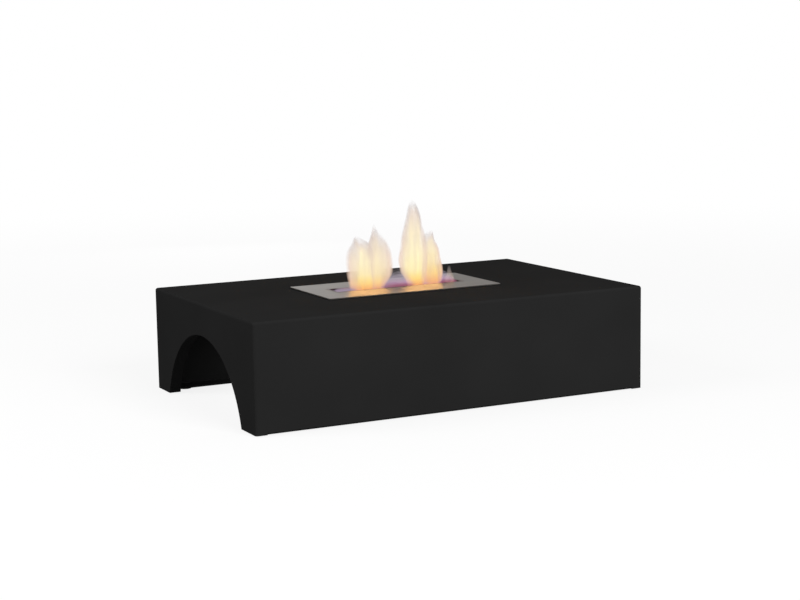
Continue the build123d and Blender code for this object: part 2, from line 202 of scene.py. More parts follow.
scene.world = bpy.data.worlds.new("white_room")
scene.world.use_nodes = True
tree = scene.world.node_tree
tree.nodes.clear()
dim = add(tree, "Background", {"Color": linear("#FFFFFF"), "Strength": ROOM_LIGHT})["Background"]
white = add(tree, "Background", {"Color": linear("#FFFFFF"), "Strength": 1.0})["Background"]
sky = add(tree, "MixShader", {0: seen_directly(tree), 1: dim, 2: white})["Shader"]
add(tree, "OutputWorld", {"Surface": sky})
print("floor", 2 * FLOOR_HALF_SIZE, "m wide, room light", ROOM_LIGHT)

# %% Soft boxes
BODY_MIDDLE = (0.0, 0.0, 0.1)


def soft_box(name, place, target, size, power, mirrored=False):
    """A square lamp of that size (m) and power (W) at place, turned to face target. The camera never
    sees it, and metal reflects it only if it is mirrored."""
    data = bpy.data.lights.new(name, "AREA")
    data.size = size
    data.energy = power
    made = bpy.data.objects.new(name, data)
    away = Vector(place) - Vector(target)
    made.matrix_world = Matrix.LocRotScale(Vector(place), away.to_track_quat("Z", "Y"), None)
    made.visible_camera = False
    made.visible_glossy = mirrored
    scene.collection.objects.link(made)
    print(name, "at", place, "with", power, "W")


soft_box("key_front", (0.6, -4.6, 2.4), BODY_MIDDLE, 2.2, 228.0)
soft_box("fill_high_left", (-3.2, 0.5, 2.0), BODY_MIDDLE, 1.6, 68.0)
soft_box("fill_under_body", (0.0, 0.0, 0.126), (0.0, 0.0, 0.0), 0.36, 1.3)
soft_box("sheen_behind", (0.62, 2.4, 0.55), (-0.1, 0.0, 0.2), 0.8, 2.3, mirrored=True)

# %% [markdown]
# ## Black powder coat on the steel body
#
# The body is folded and welded from 3 mm steel, ground flush at the seams and powder coated: a dry
# polymer powder is sprayed on and baked until it flows. It does not flow quite flat, so it keeps a
# faint orange peel, and a fine-texture black like this one is nearly matt. Its waves are about 3 mm
# long in truth; they are drawn at 7 mm, because finer ones vanish between the pixels of the picture.
# The coat gets no gloss at all: the room is white for glossy rays, and seen from so low an angle even a
# weak gloss would turn the top from black to grey.

# %% Black powder coat
COAT_WAVE = 7 * MM
COAT_WAVE_DEPTH = 0.02 * MM
COAT_CLOUD = 180 * MM  # slow change in the film's thickness
COAT_ROUGHNESS = {"To Min": 0.72, "To Max": 0.86}

coat, tree, place = new_material("black_polyester_powder_coat")
cloud = add(tree, "TexNoise", {"Vector": place, "Scale": 1 / COAT_CLOUD})["Fac"]
black = add(tree, "ValToRGB", {"Fac": cloud}, stops=[(0.3, "#242424"), (0.7, "#272727")])["Color"]
peel = add(tree, "TexNoise", {"Vector": place, "Scale": 1 / COAT_WAVE})["Fac"]
dry = add(tree, "MapRange", {"Value": peel, **COAT_ROUGHNESS})["Result"]
waves = add(tree, "Bump", {"Height": peel, "Distance": COAT_WAVE_DEPTH})["Normal"]
film = {"Base Color": black, "Roughness": dry, "Normal": waves, "Specular IOR Level": 0.0}
add(tree, "OutputMaterial", {"Surface": add(tree, "BsdfPrincipled", film)["BSDF"]})
coated = [name for name in nodes if name.endswith("_panel") or "_arch_return" in name or "_rib_" in name]
paint(coat, *coated, "burner_well")

# %% [markdown]
# ## Brushed stainless steel with a heat tint
#
# The burner plate, the shutter, its tab and the runners are cut from stainless sheet brushed along its
# length. Brushing leaves long shallow scratches, which blur reflections more across the grain than
# along it, so both the roughness and the bump are streaks along X. Scratches are some 0.1 mm wide; they
# are drawn 1.2 mm wide so that they show. Beside the slot the flames have warmed the steel, and its
# oxide film has grown just thick enough to colour it straw and bronze, then violet at the very edge.

# %% Brushed stainless
SCRATCH_WIDTH = 1.2 * MM
SCRATCH_LENGTH = 72 * MM
SCRATCH_DEPTH = 0.001 * MM
SCRATCH_ROUGHNESS = {"To Min": 0.35, "To Max": 0.4}
SLOT_HALF_LENGTH, SLOT_HALF_WIDTH = 132 * MM, 21 * MM
TINT_REACH = 9 * MM  # from the slot's edge to where the tint has gone
TINT_WANDER = 2.5 * MM  # how far its edge strays
TINT_PATCH = 14 * MM

brushed, tree, place = new_material("brushed_stainless_steel")
along_x = {"Vector": place, "Scale": (1 / SCRATCH_LENGTH, 1 / SCRATCH_WIDTH, 1 / SCRATCH_WIDTH)}
streaks = add(tree, "Mapping", along_x)["Vector"]
scratch = add(tree, "TexNoise", {"Vector": streaks, "Scale": 1.0, "Detail": 3.0})["Fac"]
steel = add(tree, "ValToRGB", {"Fac": scratch}, stops=[(0.3, "#676360"), (0.7, "#86827D")])["Color"]

# Distance from the slot: the length of what |x| and |y| have beyond its half length and half width.
axes = add(tree, "SeparateXYZ", {"Vector": place})
beyond = {}
for axis, half in (("X", SLOT_HALF_LENGTH), ("Y", SLOT_HALF_WIDTH)):
    side = add(tree, "Math", {0: axes[axis]}, operation="ABSOLUTE")["Value"]
    over = add(tree, "Math", {0: side, 1: half}, operation="SUBTRACT")["Value"]
    beyond[axis] = add(tree, "Math", {0: over, 1: 0.0}, operation="MAXIMUM")["Value"]
outside = add(tree, "CombineXYZ", beyond)["Vector"]
distance = add(tree, "VectorMath", {0: outside}, operation="LENGTH")["Value"]
patches = add(tree, "TexNoise", {"Vector": place, "Scale": 1 / TINT_PATCH})["Fac"]
wander = add(tree, "MapRange", {"Value": patches, "To Min": -TINT_WANDER, "To Max": TINT_WANDER})["Result"]
strayed = add(tree, "Math", {0: distance, 1: wander}, operation="ADD")["Value"]
share = add(tree, "Math", {0: strayed, 1: TINT_REACH}, operation="DIVIDE")["Value"]
oxide_stops = [(0.0, "#9C8CA8"), (0.22, "#B89CA4"), (0.5, "#CDB49C"), (1.0, "#FFFFFF")]
oxide = add(tree, "ValToRGB", {"Fac": share}, stops=oxide_stops)["Color"]
layers = {"Factor": 1.0, MIX_A: steel, MIX_B: oxide}
tinted = add(tree, "Mix", layers, data_type="RGBA", blend_type="MULTIPLY")[MIX_RESULT]
satin = add(tree, "MapRange", {"Value": scratch, **SCRATCH_ROUGHNESS})["Result"]
ridges = add(tree, "Bump", {"Height": scratch, "Distance": SCRATCH_DEPTH})["Normal"]
sheet = {"Base Color": tinted, "Roughness": satin, "Normal": ridges, "Metallic": 1.0}
sheet["Specular Tint"] = linear("#C4C4C4")  # what the scratches leave of the mirror at a grazing angle
add(tree, "OutputMaterial", {"Surface": add(tree, "BsdfPrincipled", sheet)["BSDF"]})
paint(brushed, "burner_plate", "regulator_shutter", "regulator_tab", "runner_left", "runner_right")

# %% [markdown]
# ## The steel that the flames stand on
#
# The perforated covers sit in the flames and are the hottest sheet of the burner. Their oxide is thick
# and uneven, in bronze, violet and grey. The casing and the fuel chambers below stay cooler and keep
# the dull grey of the rolling mill, a fine even frost with faint marks along the roll.

# %% Heat-tinted covers
HEAT_PATCH = 16 * MM
SCALE_GRAIN = 1.5 * MM
SCALE_DEPTH = 0.02 * MM
SCALE_ROUGHNESS = {"To Min": 0.35, "To Max": 0.6}

heated, tree, place = new_material("heat_tinted_stainless_steel")
patches = add(tree, "TexNoise", {"Vector": place, "Scale": 1 / HEAT_PATCH, "Detail": 3.0})["Fac"]
heat_stops = [(0.25, "#4E4658"), (0.45, "#6A5A50"), (0.6, "#86705A"), (0.8, "#77747A")]
oxide = add(tree, "ValToRGB", {"Fac": patches}, stops=heat_stops)["Color"]
uneven = add(tree, "MapRange", {"Value": patches, **SCALE_ROUGHNESS})["Result"]
grains = add(tree, "TexNoise", {"Vector": place, "Scale": 1 / SCALE_GRAIN})["Fac"]
scaled = add(tree, "Bump", {"Height": grains, "Distance": SCALE_DEPTH})["Normal"]
cover_sheet = {"Base Color": oxide, "Roughness": uneven, "Normal": scaled, "Metallic": 1.0}
add(tree, "OutputMaterial", {"Surface": add(tree, "BsdfPrincipled", cover_sheet)["BSDF"]})
paint(heated, "wick_cover_left", "wick_cover_right")

# %% Mill-finish chambers
FROST_GRAIN = 1.6 * MM
FROST_DEPTH = 0.01 * MM
FROST_ROUGHNESS = {"To Min": 0.38, "To Max": 0.5}
ROLL_MARK_WIDTH, ROLL_MARK_LENGTH = 5 * MM, 150 * MM

mill, tree, place = new_material("mill_finish_stainless_steel")
along_roll = {"Vector": place, "Scale": (1 / ROLL_MARK_LENGTH, 1 / ROLL_MARK_WIDTH, 1 / ROLL_MARK_WIDTH)}
rolled = add(tree, "Mapping", along_roll)["Vector"]
marks = add(tree, "TexNoise", {"Vector": rolled, "Scale": 1.0})["Fac"]
grey = add(tree, "ValToRGB", {"Fac": marks}, stops=[(0.3, "#918F8B"), (0.7, "#A19F9B")])["Color"]
frost = add(tree, "TexNoise", {"Vector": place, "Scale": 1 / FROST_GRAIN, "Detail": 3.0})["Fac"]
dull = add(tree, "MapRange", {"Value": frost, **FROST_ROUGHNESS})["Result"]
frosted = add(tree, "Bump", {"Height": frost, "Distance": FROST_DEPTH})["Normal"]
mill_sheet = {"Base Color": grey, "Roughness": dull, "Normal": frosted, "Metallic": 1.0}
add(tree, "OutputMaterial", {"Surface": add(tree, "BsdfPrincipled", mill_sheet)["BSDF"]})
paint(mill, "burner_casing", "fuel_chamber_left", "fuel_chamber_right")

# %% [markdown]
# ## Rubber pads and graphite gasket
#
# The four pads are punched from sheet rubber with a fine cloth-pressed texture. The gasket under the
# burner plate's rim is pressed graphite, with flakes that catch a little light. Its colour is darkened
# nearly to black as painted shade. Together with the real shade under the rim, it makes the thin dark
# line that sets the plate off from the top.

# %% Rubber
CLOTH_THREAD = 1.2 * MM
CLOTH_DEPTH = 0.1 * MM
CLOTH_ROUGHNESS = {"To Min": 0.75, "To Max": 0.9}

rubber, tree, place = new_material("punched_black_rubber")
cloth = add(tree, "TexNoise", {"Vector": place, "Scale": 1 / CLOTH_THREAD})["Fac"]
black = add(tree, "ValToRGB", {"Fac": cloth}, stops=[(0.3, "#171717"), (0.7, "#222222")])["Color"]
dry = add(tree, "MapRange", {"Value": cloth, **CLOTH_ROUGHNESS})["Result"]
pressed = add(tree, "Bump", {"Height": cloth, "Distance": CLOTH_DEPTH})["Normal"]
pad = {"Base Color": black, "Roughness": dry, "Normal": pressed, "Specular IOR Level": 0.3}
add(tree, "OutputMaterial", {"Surface": add(tree, "BsdfPrincipled", pad)["BSDF"]})
paint(rubber, *[name for name in nodes if name.startswith("foot_pad")])

# %% Graphite
FLAKE_SIZE = 1.5 * MM
FLAKE_DEPTH = 0.05 * MM
FLAKE_ROUGHNESS = {"To Min": 0.5, "To Max": 0.75}

graphite, tree, place = new_material("pressed_graphite_gasket")
flakes = add(tree, "TexVoronoi", {"Vector": place, "Scale": 1 / FLAKE_SIZE})["Distance"]
# painted shade: the graphite is darkened nearly to black to give the shadow line under the plate's rim
graphite_and_painted_shade = add(tree, "ValToRGB", {"Fac": flakes}, stops=[(0.1, "#232325"), (0.7, "#161618")])["Color"]
waxy = add(tree, "MapRange", {"Value": flakes, **FLAKE_ROUGHNESS})["Result"]
flaky = add(tree, "Bump", {"Height": flakes, "Distance": FLAKE_DEPTH})["Normal"]
gasket = {"Base Color": graphite_and_painted_shade, "Roughness": waxy, "Normal": flaky, "Specular IOR Level": 0.2}
add(tree, "OutputMaterial", {"Surface": add(tree, "BsdfPrincipled", gasket)["BSDF"]})
paint(graphite, "rim_gasket")

# %% [markdown]
# ## Skins worked out as grids
#
# The pieces below are new meshes. Each is a grid of points: rows climb the piece, and each row is a
# closed ring round it. One helper turns such a grid into faces that point outwards, and closes the two
# ends at a pole, or the grid on itself where the piece is a ring like a nut.

# %% Grid to mesh
def ring_skin(grid, wraps=False):
    """Vertices and faces of a grid of rings: (row, column) joins its right and upper neighbours.
    The first and last rows are poles of one point each, or else the last row joins the first."""
    rows, columns = grid.shape[:2]
    column = np.arange(columns)
    following = (column + 1) % columns
    if wraps:
        points = grid.reshape(-1, 3)
        start = np.arange(rows)[:, None] * columns
        above = np.roll(start, -1, axis=0)
    else:
        points = np.concatenate([grid[:1, 0], grid[1:-1].reshape(-1, 3), grid[-1:, 0]])
        start = 1 + np.arange(rows - 3)[:, None] * columns
        above = start + columns
    quads = np.stack([start + column, start + following, above + following, above + column], axis=-1)
    faces = quads.reshape(-1, 4).tolist()
    if not wraps:
        top = len(points) - 1
        last = top - columns
        foot_fan = np.stack([0 * column, 1 + following, 1 + column], axis=-1)
        tip_fan = np.stack([last + column, last + following, top + 0 * column], axis=-1)
        faces += foot_fan.tolist() + tip_fan.tolist()
    return points, faces


def join_skins(skins):
    """One list of points and one of faces from several skins, each face shifted past earlier points."""
    points, faces, count = [], [], 0
    for skin_points, skin_faces in skins:
        points.append(skin_points)
        faces += [[count + corner for corner in face] for face in skin_faces]
        count += len(skin_points)
    return np.concatenate(points), faces


def new_piece(name, skin, material, body, stands_for=None, smooth=True):
    """A mesh object at the origin that rides on a body, and may stand for a CAD node."""
    points, faces = skin
    mesh = bpy.data.meshes.new(name)
    mesh.from_pydata(points.tolist(), [], faces)
    mesh.polygons.foreach_set("use_smooth", np.full(len(mesh.polygons), smooth))
    mesh.materials.append(material)
    made = bpy.data.objects.new(name, mesh)
    scene.collection.objects.link(made)
    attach(made, body)
    if stands_for:
        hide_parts(stands_for)
    print(name, len(faces), "faces,", np.round(np.ptp(points, axis=0) / MM, 1), "mm")
    return made


# %% [markdown]
# ## Studs with a rolled thread, and their nuts
#
# Six M5 weld studs hold the well up under the top. A rolled thread is one ridge that winds round the
# stud, so the radius is a saw wave of height and angle together. It fades out at the root, where the
# stud is welded, and at the tip. A nut is a hexagon whose corners are turned off at both faces.
#
# Both are hardware plated with zinc and passivated, a thin clear film that shimmers from blue to straw.

# %% Zinc plate
PASSIVATION_PATCH = 4 * MM
PLATE_GRAIN = 0.8 * MM
PLATE_DEPTH = 0.01 * MM
PLATE_ROUGHNESS = {"To Min": 0.28, "To Max": 0.42}

zinc, tree, place = new_material("blue_passivated_zinc_plate")
patches = add(tree, "TexNoise", {"Vector": place, "Scale": 1 / PASSIVATION_PATCH})["Fac"]
shimmer_stops = [(0.3, "#A3ABB5"), (0.55, "#B4B6B8"), (0.75, "#B9B3A4")]
shimmer = add(tree, "ValToRGB", {"Fac": patches}, stops=shimmer_stops)["Color"]
bright = add(tree, "MapRange", {"Value": patches, **PLATE_ROUGHNESS})["Result"]
grains = add(tree, "TexNoise", {"Vector": place, "Scale": 1 / PLATE_GRAIN})["Fac"]
plated = add(tree, "Bump", {"Height": grains, "Distance": PLATE_DEPTH})["Normal"]
plating = {"Base Color": shimmer, "Roughness": bright, "Normal": plated, "Metallic": 1.0}
add(tree, "OutputMaterial", {"Surface": add(tree, "BsdfPrincipled", plating)["BSDF"]})
print(zinc.name, "for the studs and nuts")

# %% Places of the six studs
STUD_COLUMNS = 3
STUD_SPACING = 130 * MM  # between columns, along X

(stud_left, stud_front, stud_foot), (stud_right, stud_back, stud_tip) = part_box("well_studs")
stud_outer_radius = (stud_right - stud_left - (STUD_COLUMNS - 1) * STUD_SPACING) / 2
stud_columns = np.linspace(stud_left + stud_outer_radius, stud_right - stud_outer_radius, STUD_COLUMNS)
stud_rows = (stud_front + stud_outer_radius, stud_back - stud_outer_radius)
stud_places = [np.array([x, y, 0.0]) for x in stud_columns for y in stud_rows]
print("studs at", [tuple(np.round(place[:2] / MM).tolist()) for place in stud_places])

# %% Threaded studs
THREAD_PITCH = 0.8 * MM
THREAD_DEPTH = 0.4 * MM
THREAD_CREST = 2.45 * MM  # radius
ROOT_SHARE, TIP_SHARE = 0.06, 0.16  # of the height, over which the thread runs in and out
ROOT_DRAW = 0.6  # of the thread's depth, by which the root is drawn in
STUD_COLUMN_POINTS, STUD_ROW_POINTS = 24, 110


def stud_grid():
    """Radius = the crest's, less the thread's depth times a wave of (height / pitch - turn). The
    wave fades towards both ends, and the root is drawn in where the stud is welded."""
    turn = np.linspace(0, 1, STUD_COLUMN_POINTS, endpoint=False)[None, :]
    share = np.linspace(0, 1, STUD_ROW_POINTS)[:, None]
    climb = (stud_tip - stud_foot) * share / THREAD_PITCH - turn
    wave = np.abs(2 * (climb % 1) - 1)
    from_root = np.clip(share / ROOT_SHARE, 0, 1)
    fade = np.minimum(from_root, np.clip((1 - share) / TIP_SHARE, 0, 1))
    radius = THREAD_CREST - THREAD_DEPTH * (fade * wave + ROOT_DRAW * (1 - from_root))
    radius = np.pad(radius, ((1, 1), (0, 0)))
    height = stud_foot + (stud_tip - stud_foot) * np.pad(share, ((1, 1), (0, 0)), mode="edge")
    around = 2 * pi * turn
    return np.stack([radius * np.cos(around), radius * np.sin(around), height + 0 * around], axis=-1)


stud_points, stud_faces = ring_skin(stud_grid())
studs = join_skins([(stud_points + place, stud_faces) for place in stud_places])
new_piece("threaded_studs", studs, zinc, "housing", "well_studs")

# %% Chamfered nuts
NUT_HALF_FLATS = 4.0 * MM
NUT_BORE = 2.5 * MM  # radius
NUT_CHAMFER = 0.7 * MM  # height of the turned corners
NUT_FACE = 4.08 * MM  # radius of the ring that turning leaves on each face
NUT_CONE = 0.35 * MM  # by which the cone has widened halfway down the chamfer
NUT_COLUMNS = 72  # a multiple of twelve, so that columns fall on the hexagon's corners


def nut_grid():
    """A section carried round the bore. The hexagon's radius at an angle is half the flats over the
    cosine of the angle from the nearest flat's middle, and a cone cuts it near both faces."""
    around = np.linspace(0, 2 * pi, NUT_COLUMNS, endpoint=False)
    hexagon = NUT_HALF_FLATS / np.cos((around + pi / 6) % (pi / 3) - pi / 6)
    bore = np.full_like(around, NUT_BORE)
    face, cone = np.minimum(hexagon, NUT_FACE), np.minimum(hexagon, NUT_FACE + NUT_CONE)
    radius = np.stack([bore, face, cone, hexagon, hexagon, cone, face, bore])
    (_, _, low), (_, _, high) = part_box("well_nuts")
    half, full = NUT_CHAMFER / 2, NUT_CHAMFER
    levels = [low, low, low + half, low + full, high - full, high - half, high, high]
    height = np.array(levels)[:, None] + 0 * around
    return np.stack([radius * np.cos(around), radius * np.sin(around), height], axis=-1)


nut_points, nut_faces = ring_skin(nut_grid(), wraps=True)
nuts = join_skins([(nut_points + place, nut_faces) for place in stud_places])
new_piece("chamfered_nuts", nuts, zinc, "housing", "well_nuts", smooth=False)

# %% [markdown]
# ## Ceramic fibre in the fuel chambers
#
# Each chamber is packed with a block of ceramic wool, which soaks up the ethanol so that it can't
# spill. It is cut from a blanket, so its sides are soft and a little lumpy, and its edges are round. A
# block is a superellipse, a ring between an ellipse and a rectangle, carried from bottom to top.

# %% Ceramic fibre
FIBRE_WIDTH, FIBRE_LENGTH = 1.2 * MM, 7.2 * MM  # of a tuft: single fibres are too fine to show
FIBRE_DEPTH = 0.4 * MM
SOAKED_PATCH = 18 * MM
FIBRE_ROUGHNESS = {"To Min": 0.85, "To Max": 1.0}

fibre, tree, place = new_material("needled_ceramic_fibre")
combed = {"Vector": place, "Scale": (1 / FIBRE_LENGTH, 1 / (2 * FIBRE_WIDTH), 1 / FIBRE_WIDTH)}
tufts = add(tree, "Mapping", combed)["Vector"]
strands = add(tree, "TexNoise", {"Vector": tufts, "Scale": 1.0, "Detail": 4.0})["Fac"]
soaked = add(tree, "TexNoise", {"Vector": place, "Scale": 1 / SOAKED_PATCH})["Fac"]
both = add(tree, "Math", {0: strands, 1: soaked}, operation="MULTIPLY")["Value"]
wool_stops = [(0.1, "#A79F90"), (0.3, "#CDC7BA"), (0.5, "#E2DED4")]
wool = add(tree, "ValToRGB", {"Fac": both}, stops=wool_stops)["Color"]
fuzzy = add(tree, "MapRange", {"Value": strands, **FIBRE_ROUGHNESS})["Result"]
loose = add(tree, "Bump", {"Height": strands, "Distance": FIBRE_DEPTH})["Normal"]
blanket = {"Base Color": wool, "Roughness": fuzzy, "Normal": loose, "Specular IOR Level": 0.1}
add(tree, "OutputMaterial", {"Surface": add(tree, "BsdfPrincipled", blanket)["BSDF"]})
print(fibre.name, "for the two fuel chambers")

# %% Fibre blocks
SQUARENESS = 9.0  # power of the superellipse: 2 is an ellipse, large is a box
LUMP_DEPTH = 0.8 * MM
BLOCK_ROWS, BLOCK_COLUMNS = 48, 96


def rounded(value):
    """value ** (2 / squareness), with the sign kept."""
    return np.sign(value) * np.abs(value) ** (2 / SQUARENESS)


def fibre_grid(low, high):
    """Ring: x = rounded cos, y = rounded sin of the angle. The same rounding closes it towards the
    bottom and the top. Two crossing waves, with seven and four crests round the block, pull the sides in
    by up to the lump's depth."""
    around = np.linspace(0, 2 * pi, BLOCK_COLUMNS, endpoint=False)[None, :]
    climb = np.linspace(-pi / 2, pi / 2, BLOCK_ROWS)[:, None]
    half, middle = (np.array(high) - low) / 2, (np.array(high) + low) / 2
    lumps = np.sin(7 * around + 5 * climb) * np.sin(4 * around - 9 * climb) * np.cos(climb) ** 2
    pull = LUMP_DEPTH * (1 + lumps) / 2
    x = (half[0] - pull) * rounded(np.cos(climb)) * rounded(np.cos(around))
    y = (half[1] - pull) * rounded(np.cos(climb)) * rounded(np.sin(around))
    z = half[2] * rounded(np.sin(climb)) + 0 * around
    return np.stack([x, y, z], axis=-1) + middle


for side in ("left", "right"):
    block = ring_skin(fibre_grid(*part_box(f"wick_pad_{side}")))
    new_piece(f"fibre_block_{side}", block, fibre, "burner", f"wick_pad_{side}")

# %% [markdown]
# ## Flames
#
# An ethanol flame is a sheet of glowing gas with no surface. What the eye sees is how much gas lies
# along each line of sight. Nested skins give just that from every side: each tongue has eight, one
# inside the other, and each lets most of the light through, so their cover adds up towards the middle.
# The outer skins are a veil of pinkish grey, thin in the middle and denser at the rims, where the eye
# looks along them. The inner ones glow cream and yellow, and orange at the foot.
#
# A tongue's outline is given by a few heights with the left and right edge at each, and a smooth curve
# runs through them. The slot lets the gas out in a strip, so the section is a flat ellipse.

# %% Outlines of the tongues
# Each level: height over the perforated covers, left edge, right edge, all in mm.
TONGUES = {
    "flame_left_outer": [
        (0, -96, -48), (9, -99, -46), (24, -101, -45), (40, -105, -45), (56, -107, -45), (72, -106, -48),
        (86, -100, -53), (95, -93, -60), (102, -89, -73), (108, -87, -83),
    ],
    "flame_left_inner": [
        (0, -61, -29), (8, -62, -24), (18, -63, -17), (28, -64, -11), (40, -64, -8), (52, -64, -7),
        (65, -63, -9), (82, -60, -13), (92, -57, -18), (100, -54, -26), (109, -51, -35), (118, -49, -41),
        (128, -47, -45),
    ],
    "flame_right_tall": [
        (0, 27, 60), (8, 24, 63), (18, 18, 66), (28, 11, 68), (38, 8, 69), (54, 6, 70), (74, 9, 69),
        (93, 12, 66), (115, 17, 60), (134, 21, 55), (149, 25, 50), (163, 30, 44), (170, 35, 38),
    ],
    "flame_right_short": [
        (0, 59, 94), (7, 58, 98), (15, 56, 100), (24, 55, 101), (34, 55, 101), (45, 55, 99),
        (61, 56, 95), (78, 57, 90), (93, 60, 84), (102, 65, 82), (108, 74, 81),
    ],
    "flame_right_tiny": [
        (0, 110, 124), (8, 110, 124), (15, 111, 123), (21, 113, 121), (27, 114, 119), (32, 115, 118),
        (37, 116, 117),
    ],
}
(_, flame_front, FLAME_FOOT), (_, flame_back, _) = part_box("flame_right_tall")
FLAME_MIDDLE, FLAME_HALF_DEPTH = (flame_front + flame_back) / 2, (flame_back - flame_front) / 2
print(len(TONGUES), "tongues stand", round(FLAME_FOOT / MM, 1), "mm above the floor")
print("they are", round(2 * FLAME_HALF_DEPTH / MM, 1), "mm deep at the most")


def smooth_curve(knots, values, at):
    """A curve through the knots: cubic pieces whose slopes are those between each knot's neighbours."""
    slopes = np.gradient(values, knots)
    index = np.clip(np.searchsorted(knots, at, side="right") - 1, 0, len(knots) - 2)
    span = knots[index + 1] - knots[index]
    s = (at - knots[index]) / span
    start = (2 * s**3 - 3 * s**2 + 1) * values[index] + (s**3 - 2 * s**2 + s) * span * slopes[index]
    end = (3 * s**2 - 2 * s**3) * values[index + 1] + (s**3 - s**2) * span * slopes[index + 1]
    return start + end


# %% Shape of a skin
SKIN_ROWS, SKIN_COLUMNS = 64, 44
SOFT_RIM = 1.5 * MM  # by which the thinnest gas reaches past the outline
FOOT_CLOSING, TIP_CLOSING = 0.015, 0.03  # shares of the height over which a skin closes to its poles
RIDGES = [  # how many go round, their twist in radians, their share of the phase, their depth
    (3, 9, 1.0, 0.05),
    (5, -16, 1.7, 0.04),
]
RIDGES_AT_FOOT = 0.2  # share of their depth there; at the tip it is 1 more

skin_climb = ((1 - np.cos(np.linspace(0, pi, SKIN_ROWS))) / 2)[:, None]
skin_angle = np.linspace(0, 2 * pi, SKIN_COLUMNS, endpoint=False)[None, :]
print("a skin is a grid of", SKIN_ROWS, "by", SKIN_COLUMNS, "points")


def tongue_grid(levels, wide, tall, lean, phase):
    """A point at share t of the height and angle a lies at middle(t) + half width(t) * cos(a) across,
    and half depth * sin(a) from front to back. The half width is the outline's with the soft rim added,
    times the skin's share, and the half depth narrows with it. An inner skin may lean to one rim. Ridges
    that wind up the skin, one set each way round, draw it in by depth * (1 + sin(count * a + twist * t
    + share * phase)), as the licks of a flame do."""
    heights, left, right = np.array(levels, float).T * MM
    level = skin_climb * heights[-1]
    half_width = smooth_curve(heights, (right - left) / 2, level)
    middle = smooth_curve(heights, (left + right) / 2, level) + lean * (1 - wide) * half_width
    ends = np.minimum(skin_climb / FOOT_CLOSING, (1 - skin_climb) / TIP_CLOSING)
    half_width = (half_width + SOFT_RIM) * wide * np.sqrt(np.clip(ends, 0, 1))
    half_depth = FLAME_HALF_DEPTH * half_width / half_width.max() * np.sqrt(wide)
    drawn = 0
    for count, twist, share, depth in RIDGES:
        drawn += depth * (1 + np.sin(count * skin_angle + twist * skin_climb + share * phase))
    licks = 1 - drawn * (RIDGES_AT_FOOT + skin_climb)
    x = middle + half_width * licks * np.cos(skin_angle)
    y = FLAME_MIDDLE + half_depth * licks * np.sin(skin_angle)
    return np.stack([x, y, FLAME_FOOT + level * tall + 0 * x], axis=-1)


# %% Rise and cover of a skin
FOOT_RISE = 0.25  # the rise where a tongue's yellow and orange foot ends
GAS_DENSITY = ((0, FOOT_RISE, 0.65, 0.9, 1), (1.6, 1.2, 1.0, 0.7, 0.25))  # rises, and the density there


def tongue_rise(grid, foot, tip):
    """0 at the covers, the foot's rise at the foot's height and 1 at the tip's, and even in between.
    Both heights are in mm."""
    height = (grid[:, :, 2] - FLAME_FOOT) / MM
    return np.interp(height, [0, foot, tip], [0, FOOT_RISE, 1])


def tongue_cover(rise, middle, rim):
    """The skin's cover goes from middle to rim with the fourth power of the ring angle's cosine, and
    the gas is dense at the foot and thin at the tip."""
    cover = middle + (rim - middle) * np.cos(skin_angle) ** 4
    return np.clip(cover * np.interp(rise, *GAS_DENSITY), 0, 1)


def per_point(grid):
    """A grid's values in the order of ring_skin's points, with one value at each pole."""
    return np.concatenate([grid[:1, 0], grid[1:-1].ravel(), grid[-1:, 0]])


# %% One tongue
SKINS = [  # shares of width and height, share of the light behind stopped at the middle and rim, warmth
    (1.00, 1.000, 0.03, 0.11, 0.00),
    (0.96, 0.990, 0.04, 0.20, 0.00),
    (0.92, 0.978, 0.05, 0.32, 0.05),
    (0.87, 0.960, 0.08, 0.44, 0.15),
    (0.81, 0.935, 0.18, 0.42, 0.45),
    (0.72, 0.895, 0.32, 0.25, 0.80),
    (0.60, 0.835, 0.46, 0.15, 0.95),
    (0.43, 0.730, 0.60, 0.15, 1.00),
]
PHASE_STEP = 2.1  # radians, from one tongue's ridges to the next one's
USUAL_FOOT = 40  # mm of yellow and orange foot
OTHER_FEET = {"flame_right_short": 60, "flame_right_tiny": 10}
CORE_LEAN = {"flame_left_outer": 0.8, "flame_left_inner": -0.8}  # to the right or left rim, where hotter
CORE_HEAT = {  # 1 for the tall one
    "flame_left_outer": 0.8, "flame_left_inner": 0.55, "flame_right_short": 0.7, "flame_right_tiny": 0.0,
}
GAS_COVER = {"flame_right_tiny": 0.09}  # 1 for the others
print(len(SKINS), "skins to a tongue")


def tongue(name, levels, number):
    """The skins of one tongue as one mesh, with each vertex's rise, warmth and cover."""
    lean, heat, gas = CORE_LEAN.get(name, 0.0), CORE_HEAT.get(name, 1.0), GAS_COVER.get(name, 1.0)
    skins, values = [], {"rise": [], "warmth": [], "cover": []}
    for wide, tall, middle, rim, warmth in SKINS:
        grid = tongue_grid(levels, wide, tall, lean, PHASE_STEP * number)
        rise = tongue_rise(grid, OTHER_FEET.get(name, USUAL_FOOT), levels[-1][0])
        skins.append(ring_skin(grid))
        values["rise"].append(per_point(rise))
        values["warmth"].append(np.full(len(skins[-1][0]), heat * warmth))
        values["cover"].append(per_point(gas * tongue_cover(rise, middle, rim)))
    return join_skins(skins), {kind: np.concatenate(parts) for kind, parts in values.items()}


# %% [markdown]
# ### Glow and cover of the skins
#
# Three numbers are kept on each vertex: rise, its height on its tongue, warmth, 0 on the outer skin
# and 1 on the core, and cover. The skins give light instead of reflecting it. Two ramps along rise, one
# for the veil and one for the core, are mixed by warmth. Streaks that are long in Z break the warmth
# and the cover, which the shader calls alpha, up a little.
#
# A flame is far brighter than white paper, and a picture can't be: it shows the flame clipped, so its
# orange looks pale yellow. So the strength and the colour have two values, the clipped ones for rays
# from the camera and the true ones for the light that falls on the steel and that the steel throws
# back. The light then goes where the flames go.

